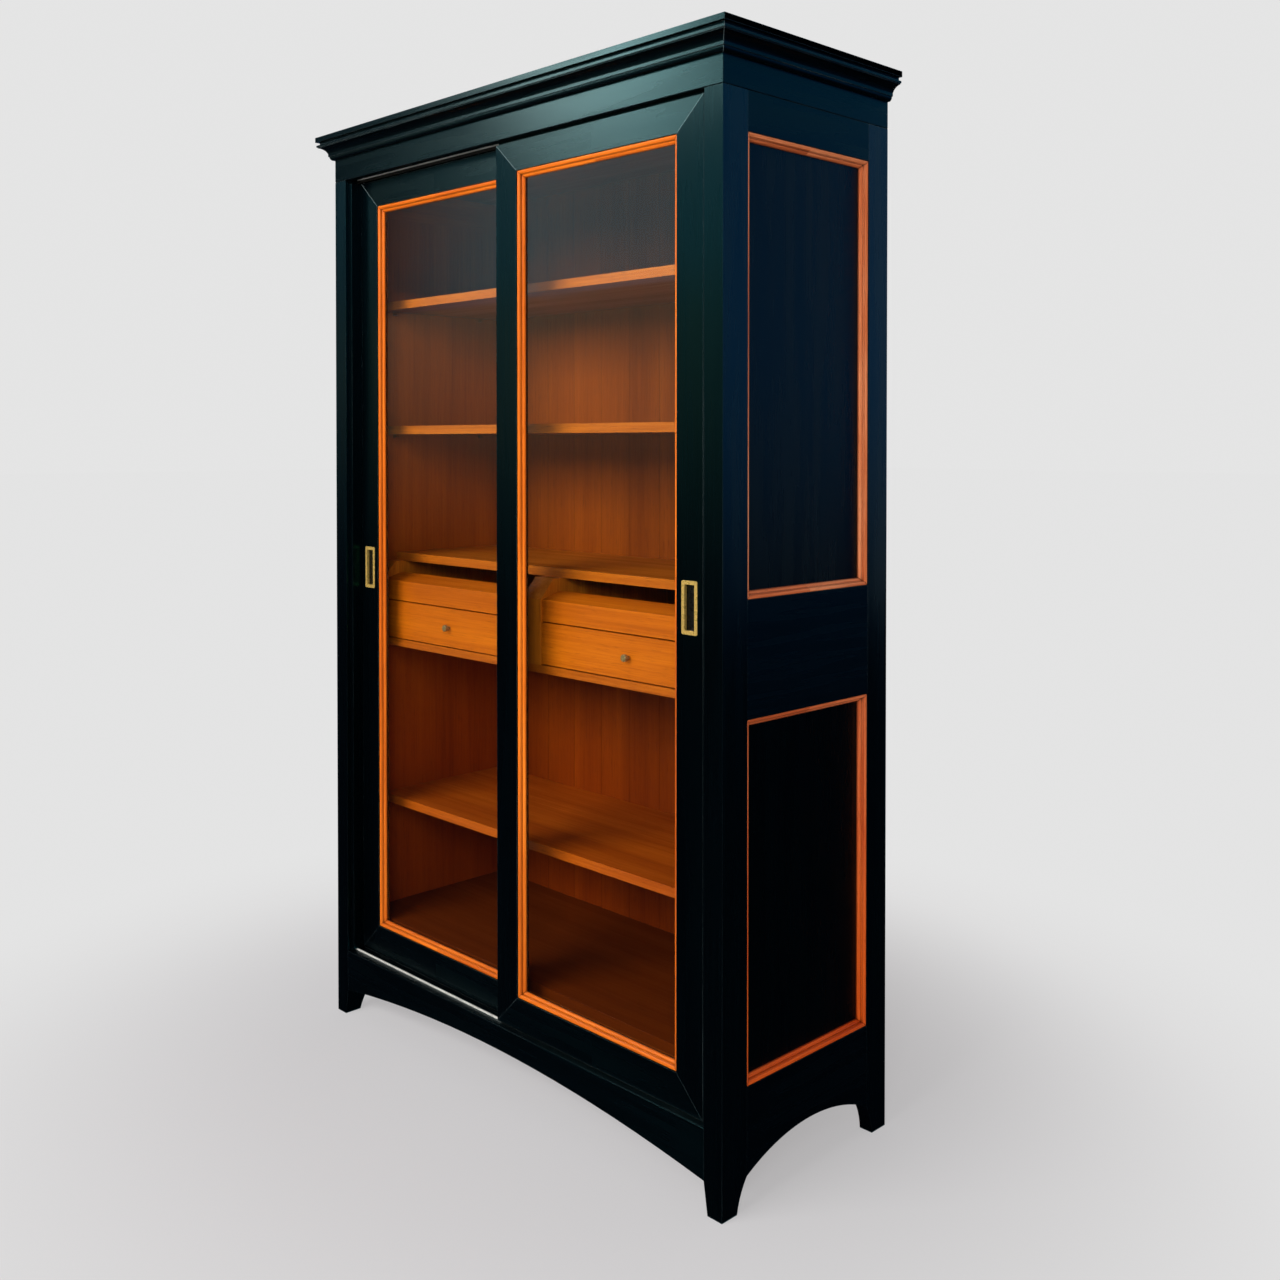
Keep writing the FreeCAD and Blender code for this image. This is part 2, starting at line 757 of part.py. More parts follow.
def make_rollers(name, x, y):
    """Rollers on axles in two housings that straddle the track, in the foot of a door whose face is at y."""
    middle = f"{y} + door_thickness / 2"
    housings = []
    for letter, centre in (("a", f"{x} + roller_inset"), ("b", f"{x} + door_width - roller_inset")):
        part = f"{name}_housing_{letter}"
        foot = "door_foot - housing_drop"
        corner = (f"{centre} - housing_length / 2", f"{middle} - housing_width / 2", foot)
        extent = ("housing_length", "housing_width", "housing_height + housing_drop")
        case = block(f"{part}_case", corner, extent)
        slot_width = "housing_width - 2 * housing_wall"
        start = f"{centre} - housing_length / 2 - overrun"
        slot_height = "housing_height + housing_drop - housing_wall + overrun"
        corner = (start, f"{middle} - ({slot_width}) / 2", f"{foot} - overrun")
        extent = ("housing_length + 2 * overrun", slot_width, slot_height)
        shell = cut(f"{part}_shell", case, block(f"{part}_slot", corner, extent))
        base = (centre, f"{middle} - housing_width / 2", "door_foot + axle_level")
        axle = rod(f"{part}_axle", "axle_radius", "housing_width", base, (0, 1, 0))
        housings.append(fuse(part, shell, axle))

        body = keep(new_body(f"{name}_roller_{letter}"))
        half = "roller_width / 2"
        bore = "axle_radius + axle_play"
        spin(body, rectangle((bore, f"-{half}"), ("roller_radius", half)))
        place(body, centre, middle, "door_foot + axle_level")
    group(f"{name}_roller_housings", housings)


def spin(body, profile):
    """Revolve an outline of radius and height about the body's Y axis."""
    sketch = outline(body, "XY_Plane", [profile])
    feature = body.newObject("PartDesign::Revolution", body.Name + "_turned")
    feature.Profile = sketch
    feature.ReferenceAxis = (sketch, ["V_Axis"])
    feature.Angle = 360
    doc.recompute()


def make_doors():
    """Two like doors: the right one on the outer track, the left one on the inner track."""
    edge = "post_width + door_side_gap"
    doors = (
        ("door_right", "right", f"right - ({edge}) - door_width", "front + outer_door_inset"),
        ("door_left", "left", f"-right + {edge}", "front + inner_door_inset"),
    )
    for name, side, x, y in doors:
        make_door_frame(name, x, y, side)
        glass_back = f"{y} + door_thickness - lip_thickness"
        corner = (f"{x} + stile_width + glass_gap", f"{glass_back} - glass_thickness",
                  "door_foot + foot_rail_width + glass_gap")
        extent = ("glazed_width - 2 * glass_gap", "glass_thickness", "glazed_height - 2 * glass_gap")
        keep(block(f"{name}_glass", corner, extent))
        corner = (f"{x} + stile_width", f"{glass_back} - glass_thickness", "door_foot + foot_rail_width")
        outward = FreeCAD.Vector(0, -1, 0)
        size = ("glazed_width", "glazed_height")
        group(f"{name}_bead", ring(f"{name}_bead", corner, size, outward, "bead_width", "bead_height"))
        centre = "stile_width / 2" if side == "left" else "door_width - stile_width / 2"
        make_pull(f"{name}_pull", f"{x} + {centre}", y)
        make_rollers(name, x, y)


def make_shelves():
    """Four shelves across the case, three of them on pegs in the side panels."""
    shelves = (("upper", "shelf_inset"), ("middle", "shelf_inset"), ("desk", "desk_shelf_inset"),
               ("lower", "shelf_inset"))
    for name, inset in shelves:
        corner = ("-shelf_width / 2", f"front + {inset}", f"{name}_shelf_level - shelf_thickness")
        depth = f"shelf_depth + shelf_inset - {inset}"
        keep(block(f"shelf_{name}", corner, ("shelf_width", depth, "shelf_thickness")))
    pegs = []
    for level in peg_levels().values():
        for side in ("left", "right"):
            for inset in ("front_peg_inset", "rear_peg_inset"):
                pegs.append(peg_bar("peg", side, inset, level, "peg_reach", "0"))
    group("shelf_pegs", pegs)


def make_drawer_case():
    """Bottom board on bearers, shouldered uprights, and a fascia with a sloped board over each drawer."""
    corner = ("-shelf_width / 2", "front + drawer_inset", "case_floor_level - case_bottom_thickness")
    depth = "shelf_depth + shelf_inset - drawer_inset"
    keep(block("drawer_case_bottom", corner, ("shelf_width", depth, "case_bottom_thickness")))

    bearers = []
    bearer_level = "case_floor_level - case_bottom_thickness - case_bearer_height"
    for side in ("left", "right"):
        corner = (from_side(side, "rail_thickness", "case_bearer_width"), "front + shelf_inset", bearer_level)
        extent = ("case_bearer_width", "shelf_depth", "case_bearer_height")
        bearers.append(block(f"case_bearer_{side}", corner, extent))
    group("drawer_case_bearers", bearers)

    uprights = []
    depth = "shelf_depth + shelf_inset - upright_inset"
    runs = (
        ("left", "-shelf_width / 2", "outer_upright"),
        ("middle", "-middle_upright / 2", "middle_upright"),
        ("right", "shelf_width / 2 - outer_upright", "outer_upright"),
    )
    for where, x, thickness in runs:
        body = new_body(f"upright_{where}")
        profile = [
            ("0", "case_floor_level"),
            (depth, "case_floor_level"),
            (depth, "desk_underside"),
            ("shoulder_depth", "desk_underside"),
            ("0", "shoulder_level"),
        ]
        pad(body, "YZ_Plane", profile, thickness)
        place(body, x, "front + upright_inset", "0")
        uprights.append(body)
    group("drawer_case_uprights", uprights)

    fascia_top = "fascia_level + fascia_height"
    fall = "slope_rise / slope_depth"
    joint = f"({fascia_top} + fascia_thickness * {fall})"
    fascias = []
    slopes = []
    for side in ("left", "right"):
        x = bay_start(side)
        body = new_body(f"fascia_{side}")
        profile = [
            ("0", "fascia_level"),
            ("fascia_thickness", "fascia_level"),
            ("fascia_thickness", joint),
            ("0", fascia_top),
        ]
        pad(body, "YZ_Plane", profile, "bay_width")
        place(body, x, "front + fascia_inset", "0")
        fascias.append(body)
        body = new_body(f"slope_{side}")
        profile = [
            ("fascia_thickness", f"{joint} - slope_board_thickness"),
            ("slope_depth", f"{fascia_top} + slope_rise - slope_board_thickness"),
            ("slope_depth", f"{fascia_top} + slope_rise"),
            ("fascia_thickness", joint),
        ]
        pad(body, "YZ_Plane", profile, "bay_width")
        place(body, x, "front + fascia_inset", "0")
        slopes.append(body)
    group("drawer_fascias", fascias)
    group("drawer_slope_boards", slopes)


def bay_start(side):
    """Low X of the bay that a drawer runs in."""
    return "-shelf_width / 2 + outer_upright" if side == "left" else "middle_upright / 2"


def make_drawers():
    """Two drawers, each a front, a three-sided box with a bottom let in, and a turned knob."""
    for side in ("left", "right"):
        name = f"drawer_{side}"
        x = bay_start(side)
        front_face = "front + drawer_inset"
        box_front = f"{front_face} + drawer_front_thickness"
        extent = ("bay_width - 2 * drawer_front_gap", "drawer_front_thickness", "drawer_front_height")
        keep(block(f"{name}_front", (f"{x} + drawer_front_gap", front_face, "drawer_front_level"), extent))

        low = "case_floor_level + drawer_run_gap"
        left = f"{x} + drawer_side_gap"
        extent = ("drawer_side_thickness", "drawer_box_depth", "drawer_side_height")
        near = block(f"{name}_side_near", (left, box_front, low), extent)
        far_x = f"{left} + drawer_box_width - drawer_side_thickness"
        far = block(f"{name}_side_far", (far_x, box_front, low), extent)
        inside = "drawer_box_width - 2 * drawer_side_thickness"
        rear_y = f"{box_front} + drawer_box_depth - drawer_side_thickness"
        corner = (f"{left} + drawer_side_thickness", rear_y, low)
        rear = block(f"{name}_back", corner, (inside, "drawer_side_thickness", "drawer_side_height"))
        corner = (f"{left} + drawer_side_thickness", box_front, f"{low} + drawer_bottom_rise")
        depth = "drawer_box_depth - drawer_side_thickness"
        bottom = block(f"{name}_bottom", corner, (inside, depth, "drawer_bottom_thickness"))
        group(f"{name}_box", [near, far, rear, bottom])

        body = keep(new_body(f"{name}_knob"))
        shank = "knob_reach - knob_head"
        profile = [("0", "0"), ("knob_stem_radius", "0"), ("knob_stem_radius", shank), ("knob_radius", shank)]
        profile += [("knob_radius", "knob_reach - knob_crown"), ("knob_flat_radius", "knob_reach")]
        profile += [("0", "knob_reach")]
        spin(body, profile)
        turned = FreeCAD.Rotation(FreeCAD.Vector(0, 1, 0), FreeCAD.Vector(0, -1, 0))
        place(body, f"{x} + bay_width / 2", front_face, "knob_level", turned)


def check_all():
    """Stop if any object failed or any sub-part is empty or broken."""
    doc.recompute()
    for item in doc.Objects:
        if "Invalid" in item.State or "Error" in item.State:
            raise RuntimeError(f"{item.Label}: {item.State}")
    for node in nodes:
        if node.Shape.isNull() or not node.Shape.isValid() or node.Shape.Volume <= 0:
            raise RuntimeError(f"{node.Label}: its shape is empty or not valid")


make_posts()
make_sides()
make_base()
make_crown()
make_running_gear()
make_doors()
make_shelves()
make_drawer_case()
make_drawers()
check_all()

os.makedirs("parts", exist_ok=True)
for node in nodes:
    node.Shape.exportStep(f"parts/{node.Label}.step")
print(len(nodes), "sub-parts,", sum(len(node.Shape.Solids) for node in nodes), "solids")
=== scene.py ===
import math

import bpy
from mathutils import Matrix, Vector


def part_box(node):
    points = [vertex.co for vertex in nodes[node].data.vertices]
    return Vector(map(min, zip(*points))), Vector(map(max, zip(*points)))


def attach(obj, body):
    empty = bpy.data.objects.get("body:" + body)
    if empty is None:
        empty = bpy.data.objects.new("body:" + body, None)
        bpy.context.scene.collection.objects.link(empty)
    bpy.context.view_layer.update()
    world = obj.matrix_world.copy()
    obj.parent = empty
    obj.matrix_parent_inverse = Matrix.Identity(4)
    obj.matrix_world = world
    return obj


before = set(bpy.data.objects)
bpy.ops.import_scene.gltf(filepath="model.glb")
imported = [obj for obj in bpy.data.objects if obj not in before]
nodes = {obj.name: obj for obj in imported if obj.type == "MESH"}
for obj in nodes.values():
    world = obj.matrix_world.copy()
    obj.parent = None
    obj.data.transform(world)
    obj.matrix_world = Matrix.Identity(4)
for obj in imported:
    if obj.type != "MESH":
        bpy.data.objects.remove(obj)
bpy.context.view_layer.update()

SIDES = ("left", "right")
WHITE = (1.0, 1.0, 1.0)

# Sizes in metres: the tongue on a door's head, the moulded sticks, and the seams of the back boards.
TONGUE_HEIGHT = 0.009
BEAD_WIDTH = 0.0155
MOULDING_WIDTH = 0.015
BACK_BOARDS = 12
BACK_SEAM = 0.0008

# The grain's axis is put last in the coordinates that the wood patterns use.
GRAIN_ORDER = {"X": (1, 2, 0), "Y": (0, 2, 1), "Z": (0, 1, 2)}
GRAIN = {"X": (1, 0, 0), "Y": (0, 1, 0), "Z": (0, 0, 1)}

# Each wood's tones from its late wood to its early wood, and their places on the ramp.
WOOD_STOPS = (0.30, 0.46, 0.58, 0.72)
SHELF_TONES = ((0.30, 0.062, 0.0025), (0.45, 0.108, 0.005),
               (0.55, 0.148, 0.008), (0.70, 0.215, 0.017))
DRAWER_TONES = ((0.32, 0.060, 0.0015), (0.46, 0.096, 0.0025),
                (0.56, 0.128, 0.0035), (0.68, 0.170, 0.006))
INNER_TONES = ((0.18, 0.030, 0.0013), (0.245, 0.047, 0.0020),
               (0.285, 0.058, 0.0026), (0.34, 0.075, 0.0038))
FLOOR_TONES = ((0.085, 0.012, 0.0005), (0.110, 0.017, 0.0008),
               (0.125, 0.020, 0.0010), (0.150, 0.026, 0.0014))
BEAD_TONES = ((0.32, 0.044, 0.002), (0.54, 0.100, 0.004),
              (0.70, 0.150, 0.008), (0.90, 0.240, 0.020))
# The moulding's pale, pinkish early tones are partly a painted sheen.
MOULDING_TONES = ((0.40, 0.060, 0.012), (0.74, 0.170, 0.050),
                  (0.92, 0.290, 0.115), (1.00, 0.420, 0.200))

# The lining of the sides is paler than the back by this factor.
LINING_GAIN = 1.45
LINING_TONES = tuple(tuple(part * LINING_GAIN for part in tone) for tone in INNER_TONES)

# The heights between which low wood turns from a darker colour to its own, and the colours.
LOW_DARKENING = (0.3, 1.3)
# Painted shade: the wood inside the case is darker low down.
INNER_PAINTED_SHADE = (0.80, 0.52, 0.35)
# The mouldings are darker and redder towards their foot.
MOULDING_FOOT = (0.94, 0.42, 0.08)

# Bands and fibres in a metre across the grain of the moulded sticks, which are cut fine.
STICK_FIGURE = {"broad": 30.0, "fine": 300.0}

# The lacquer's tones, its paler colour on its edges and mitre lines, and the tint of its sheen.
# The paler colour is partly wear where it is rubbed thin and partly a painted highlight.
LACQUER_STOPS = (0.32, 0.5, 0.70)
LACQUER_TONES = ((0.0002, 0.0004, 0.0008), (0.0003, 0.0008, 0.0013), (0.0005, 0.0015, 0.0022))
RUBBED_AND_HIGHLIT = (0.105, 0.135, 0.135)
SHEEN_TINT = (0.02, 0.84, 1.0)

# The gloss of the lacquer, and of the sides of the posts.
GLOSS = 0.30
SIDE_GLOSS = 0.62

# Distances from a mitre at which its line starts to show and is full, and its share at a door's foot.
MITRE_LINE = (0.0013, 0.0004)
CORNICE_LINE = (0.0010, 0.0002)
# Painted highlight: a door's pale mitre lines are faint at its foot.
FOOT_MITRE = 0.05

# Metals and glass. The pulls go dark between two depths, and the guide below the strip at its top.
KNOB_COLOUR = (0.36, 0.27, 0.12)
PULL_COLOUR = (0.66, 0.43, 0.11)
PULL_DARK = (0.002, 0.002, 0.002)
PULL_DEPTHS = (0.0040, 0.0062)
TRACK_COLOUR = (0.82, 0.79, 0.72)
ROLLER_COLOUR = (0.52, 0.52, 0.53)
GUIDE_COLOUR = (0.62, 0.60, 0.54)
GUIDE_DARK = (0.012, 0.010, 0.008)
GUIDE_STRIP = 0.0035
GLASS_GLOSS = (0.95, 0.97, 1.0)
GLASS_CLEAR = (0.965, 0.975, 0.97)
GLASS_IOR = 1.52

# Rays for each rounded edge and crevice.
RAYS = 6


def toned(colour, factor=1.0):
    """A colour times a factor, with its alpha."""
    return (*(part * factor for part in colour), 1)


class Surface:
    """One procedural material. Its methods add nodes and give back their output sockets."""

    def __init__(self, name):
        self.material = bpy.data.materials.new(name)
        self.material.use_nodes = True
        self.tree = self.material.node_tree
        self.tree.nodes.clear()
        self.place = self.add("TexCoord", {}, "Object")
        self.x, self.y, self.z = self.split(self.place)

    def add(self, kind, inputs, result=0, **settings):
        node = self.tree.nodes.new("ShaderNode" + kind)
        for name, value in settings.items():
            setattr(node, name, value)
        for key, value in inputs.items():
            if isinstance(value, bpy.types.NodeSocket):
                self.tree.links.new(value, node.inputs[key])
            else:
                node.inputs[key].default_value = value
        return node.outputs[result] if len(node.outputs) else node

    def split(self, vector):
        node = self.add("SeparateXYZ", {0: vector}).node
        return tuple(node.outputs)

    def join(self, x, y, z):
        return self.add("CombineXYZ", {0: x, 1: y, 2: z})

    def math(self, operation, *values):
        return self.add("Math", dict(enumerate(values)), operation=operation)

    def stretched(self, vector, across, along):
        """Grain coordinates with a scale across the grain and a scale along it."""
        factors = (across, across, along)
        return self.add("VectorMath", {0: vector, 1: factors}, operation="MULTIPLY")

    def moved(self, vector, by):
        return self.add("VectorMath", {0: vector, 1: by}, operation="ADD")

    def facing(self):
        """The parts of a face's direction along X, Y and Z."""
        return self.split(self.add("NewGeometry", {}, "True Normal"))

    def step(self, value, low, high, to_low=0.0, to_high=1.0):
        """A smooth change from to_low to to_high as value goes from low to high."""
        inputs = {0: value, 1: low, 2: high, 3: to_low, 4: to_high}
        return self.add("MapRange", inputs, interpolation_type="SMOOTHSTEP")

    def mix(self, factor, first, second):
        """A mix of two colours."""
        return self.add("Mix", {0: factor, 6: first, 7: second}, 2, data_type="RGBA")

    def covered(self, colour, mask, share, cover):
        """A colour that gives way to a cover by a share of a mask."""
        return self.mix(self.math("MULTIPLY", mask, share), colour, cover)

    def tinted(self, colour, tint):
        """A colour multiplied by another."""
        inputs = {0: 1.0, 6: colour, 7: tint}
        return self.add("Mix", inputs, 2, data_type="RGBA", blend_type="MULTIPLY")

    def choose(self, factor, first, second):
        """A mix of two vectors."""
        return self.add("Mix", {0: factor, 4: first, 5: second}, 1, data_type="VECTOR")

    def either(self, factor, first, second):
        """A mix of two shaders."""
        return self.add("MixShader", {0: factor, 1: first, 2: second})

    def ramp(self, factor, stops, tones):
        node = self.add("ValToRGB", {0: factor}).node
        elements = node.color_ramp.elements
        while len(elements) < len(stops):
            elements.new(0.5)
        for element, position, tone in zip(elements, stops, tones):
            element.position = position
            element.color = toned(tone)
        return node.outputs[0]

    def noise(self, vector, detail=2.0, roughness=0.5, distortion=0.0, scale=1.0):
        inputs = {"Vector": vector, "Scale": scale, "Detail": detail, "Roughness": roughness,
                  "Distortion": distortion}
        return self.add("TexNoise", inputs)

    def bump(self, height, strength, distance, normal=None):
        inputs = {"Height": height, "Strength": strength, "Distance": distance}
        if normal is not None:
            inputs["Normal"] = normal
        return self.add("Bump", inputs)

    def bevel(self, radius):
        """The normal, rounded near sharp edges."""
        return self.add("Bevel", {"Radius": radius}, samples=RAYS)

    def edges(self, rounded):
        """A mask that is 1 where a rounded normal leaves its face."""
        plain = self.add("NewGeometry", {}, "True Normal")
        inputs = {0: rounded, 1: plain}
        likeness = self.add("VectorMath", inputs, "Value", operation="DOT_PRODUCT")
        return self.step(likeness, 0.995, 0.90)

    def painted_crevice_shade(self, distance):
        """A mask for painted shade: 1 in the open and less in corners."""
        inputs = {"Distance": distance}
        return self.add("AmbientOcclusion", inputs, "AO", samples=RAYS, only_local=True)

    def principled(self, **inputs):
        named = {name.replace("_", " "): value for name, value in inputs.items()}
        return self.add("BsdfPrincipled", named)

    def finish(self, shader):
        self.add("OutputMaterial", {"Surface": shader})
        return self.material


def grain_place(surface, axis):
    """Coordinates whose last part runs along the grain."""
    parts = (surface.x, surface.y, surface.z)
    return surface.join(*(parts[index] for index in GRAIN_ORDER[axis]))


def outside(surface, value, low, high):
    """How far a coordinate lies outside a span; negative inside it."""
    below = surface.math("SUBTRACT", low, value)
    above = surface.math("SUBTRACT", value, high)
    return surface.math("MAXIMUM", below, above)


def mitred_place(surface, across_axis, across_span, up_span, slant=1.0):
    """Grain coordinates and direction for a mitred frame: upright stiles and level rails.

    The third result is a mask of the mitre lines, which rise by slant for each step across.
    """
    across_value = {"X": surface.x, "Y": surface.y}[across_axis]
    across = outside(surface, across_value, *across_span)
    up = outside(surface, surface.z, *up_span)
    lead = surface.math("SUBTRACT", up, surface.math("MULTIPLY", across, slant))
    in_rail = surface.math("GREATER_THAN", lead, 0.0)
    line = surface.step(surface.math("ABSOLUTE", lead), *MITRE_LINE)
    place = surface.choose(in_rail, grain_place(surface, "Z"), grain_place(surface, across_axis))
    grain = surface.choose(in_rail, GRAIN["Z"], GRAIN[across_axis])
    # The members lie far apart in the pattern, so that each has a figure of its own.
    side = surface.math("SIGN", surface.math("SUBTRACT", across_value, sum(across_span) / 2))
    apart = surface.join(surface.math("MULTIPLY", side, 3.7), in_rail, 0.0)
    return surface.moved(place, apart), grain, line


def wood_figure(surface, place, broad, fine):
    """Broad growth bands, fine fibres and short pores along the grain, each from 0 to 1.

    The bands and the fibres are given by their number in a metre across the grain.
    """
    warp = surface.noise(surface.stretched(place, 3.0, 0.6))
    bent = surface.moved(place, surface.join(surface.math("MULTIPLY", warp, 0.05), 0.0, 0.0))
    bands = surface.noise(surface.stretched(bent, broad, broad * 0.05),
                          detail=3.0, roughness=0.55, distortion=0.4)
    fibres = surface.noise(surface.stretched(place, fine, fine * 0.018), detail=4.0, roughness=0.65)
    pores = surface.noise(surface.stretched(place, fine * 3.1, fine * 0.12), detail=1.0)
    return bands, fibres, surface.step(pores, 0.62, 0.74)


def oiled_wood(surface, place, tones, broad=16.0, fine=240.0, rough=0.42, line=None, foot=None):
    """A shader for bare oiled wood whose tones run from its late wood to its early wood.

    A line is a mask of dark lines: dark joints, and painted shade on moulded sticks. A foot is a
    colour that the wood is multiplied by low down, so that it is darker towards the bottom.
    """
    late, early = tones[0], tones[-1]
    bands, fibres, pores = wood_figure(surface, place, broad, fine)
    mixed = surface.math("MULTIPLY_ADD", fibres, 0.45, surface.math("MULTIPLY", bands, 0.55))
    colour = surface.ramp(mixed, WOOD_STOPS, tones)
    colour = surface.covered(colour, pores, 0.5, toned(late, 0.45))
    # Painted shade: the wood is darker in corners and crevices.
    open_air = surface.step(surface.painted_crevice_shade(0.012), 0.35, 0.95)
    colour = surface.mix(open_air, toned(late, 0.30), colour)
    rounded = surface.bevel(0.0008)
    # A painted highlight: the wood is lighter along its rounded edges.
    colour = surface.covered(colour, surface.edges(rounded), 0.25, toned(early))
    if line is not None:
        colour = surface.covered(colour, line, 0.8, toned(late, 0.25))
    # Darker low down: painted shade inside the case, and on the mouldings darker towards the foot.
    if foot is not None:
        own = surface.step(surface.z, *LOW_DARKENING)
        colour = surface.tinted(colour, surface.mix(own, toned(foot), toned(WHITE)))
    height = surface.math("SUBTRACT", fibres, surface.math("MULTIPLY", pores, 0.6))
    normal = surface.bump(height, strength=0.16, distance=0.0006, normal=rounded)
    roughness = surface.step(mixed, 0.3, 0.7, to_low=rough + 0.10, to_high=rough - 0.06)
    return surface.principled(Base_Color=colour, Roughness=roughness, Normal=normal,
                              Specular_IOR_Level=0.16)


def side_gloss(surface):
    """A level of gloss that is higher on the faces towards the sides."""
    sideways = surface.math("ABSOLUTE", surface.facing()[0])
    return surface.math("MULTIPLY_ADD", sideways, SIDE_GLOSS - GLOSS, GLOSS)


def lacquer(surface, place, grain, line=None, wear_and_highlight=0.30, gloss=GLOSS):
    """A shader for dark blue-green satin lacquer, brushed along the grain.

    It is paler on its edges and along a line, which is a mask: partly wear, partly a painted
    highlight.
    """
    bands, fibres, pores = wood_figure(surface, place, broad=20.0, fine=260.0)
    mixed = surface.math("MULTIPLY_ADD", fibres, 0.5, surface.math("MULTIPLY", bands, 0.5))
    colour = surface.ramp(mixed, LACQUER_STOPS, LACQUER_TONES)
    rounded = surface.bevel(0.0009)
    patches = surface.noise(surface.stretched(place, 9.0, 3.0), detail=4.0, roughness=0.6)
    thin = surface.step(patches, 0.38, 0.68, to_low=0.2 * wear_and_highlight, to_high=wear_and_highlight)
    worn_and_lit = surface.math("MULTIPLY", surface.edges(rounded), thin)
    if line is not None:
        worn_and_lit = surface.math("MAXIMUM", worn_and_lit, surface.math("MULTIPLY", line, 0.9))
    # Partly wear, partly a painted highlight on the edges and mitre lines.
    colour = surface.mix(worn_and_lit, colour, toned(RUBBED_AND_HIGHLIT))
    height = surface.math("SUBTRACT", fibres, surface.math("MULTIPLY", pores, 0.4))
    normal = surface.bump(height, strength=0.07, distance=0.0005, normal=rounded)
    smears = surface.noise(surface.stretched(place, 30.0, 2.2), detail=3.0, roughness=0.6)
    roughness = surface.step(smears, 0.30, 0.72, to_low=0.22, to_high=0.32)
    across = surface.add("VectorMath", {0: rounded, 1: grain}, operation="CROSS_PRODUCT")
    return surface.principled(Base_Color=colour, Roughness=roughness, Normal=normal,
                              Specular_IOR_Level=gloss, Specular_Tint=toned(SHEEN_TINT),
                              Anisotropic=0.8, Tangent=across)


def plain_wood(name, axis, tones):
    surface = Surface(name)
    return surface.finish(oiled_wood(surface, grain_place(surface, axis), tones))


def shelf_board(name):
    """A shelf whose underside is painted in shade, as dark as the back of the case."""
    surface = Surface(name)
    beneath = surface.math("LESS_THAN", surface.facing()[2], -0.5)
    place = grain_place(surface, "X")
    upper = oiled_wood(surface, place, SHELF_TONES, foot=INNER_PAINTED_SHADE)
    # Painted shade: the underside takes the darker wood of the back.
    shaded_underside = oiled_wood(surface, place, INNER_TONES, foot=INNER_PAINTED_SHADE)
    return surface.finish(surface.either(beneath, upper, shaded_underside))


def plain_lacquer(name, axis):
    surface = Surface(name)
    return surface.finish(lacquer(surface, grain_place(surface, axis), GRAIN[axis]))


def post_lacquer(name):
    surface = Surface(name)
    shader = lacquer(surface, grain_place(surface, "Z"), GRAIN["Z"], gloss=side_gloss(surface))
    return surface.finish(shader)


def lined_lacquer(name, axis, post=False):
    """Lacquer outside, and bare wood on the faces that line the inside of the case."""
    surface = Surface(name)
    gloss = side_gloss(surface) if post else GLOSS
    inner_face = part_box("bottom_board")[1].x
    inside = surface.math("LESS_THAN", surface.math("ABSOLUTE", surface.x), inner_face + 0.0003)
    outer = lacquer(surface, grain_place(surface, axis), GRAIN[axis], wear_and_highlight=0.15, gloss=gloss)
    inner = oiled_wood(surface, grain_place(surface, axis), LINING_TONES, foot=INNER_PAINTED_SHADE)
    return surface.finish(surface.either(inside, outer, inner))


def board_wood(name, node, count):
    """Upright boards side by side, each with a figure of its own."""
    surface = Surface(name)
    low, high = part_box(node)
    from_first = surface.math("SUBTRACT", surface.x, low.x)
    index = surface.math("FLOOR", surface.math("DIVIDE", from_first, (high.x - low.x) / count))
    number = surface.add("TexWhiteNoise", {"W": index}, "Value", noise_dimensions="1D")
    aside = surface.math("MULTIPLY", number, 9.0)
    along = surface.math("MULTIPLY", number, 5.0)
    place = surface.moved(grain_place(surface, "Z"), surface.join(aside, 0.0, along))
    return surface.finish(oiled_wood(surface, place, INNER_TONES, broad=11.0, foot=INNER_PAINTED_SHADE))


def door_lacquer(name, frame_node, bead):
    """Lacquer on a door's frame, whose head rail is narrower than its stiles."""
    surface = Surface(name)
    outer_low, outer_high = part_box(frame_node)
    low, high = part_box(bead)
    at_head = surface.math("GREATER_THAN", surface.z, (low.z + high.z) / 2)
    head = outer_high.z - TONGUE_HEIGHT - high.z
    stile = low.x - outer_low.x
    slant = surface.math("MULTIPLY_ADD", at_head, head / stile - 1.0, 1.0)
    place, grain, line = mitred_place(surface, "X", (low.x, high.x), (low.z, high.z), slant)
    # The mitre lines, partly a painted highlight, are faint at the door's foot.
    share = surface.math("MULTIPLY_ADD", at_head, 1.0 - FOOT_MITRE, FOOT_MITRE)
    line = surface.math("MULTIPLY", line, share)
    return surface.finish(lacquer(surface, place, grain, line, wear_and_highlight=0.8))


def stick_shade_lines(surface, across, up, width):
    """A mask of painted shade along a moulded stick's two edges and its middle step.

    Places across the stick are shares of its width, from its outer edge inwards.
    """
    inward = surface.math("MULTIPLY", surface.math("MAXIMUM", across, up), -1.0 / width)
    from_step = surface.math("ABSOLUTE", surface.math("SUBTRACT", inward, 0.52))
    outer_edge = surface.step(inward, 0.09, 0.02)
    inner_edge = surface.step(inward, 0.90, 0.98)
    middle = surface.step(from_step, 0.075, 0.02, to_low=0.0, to_high=0.4)
    return surface.math("MAXIMUM", surface.math("MAXIMUM", outer_edge, inner_edge), middle)


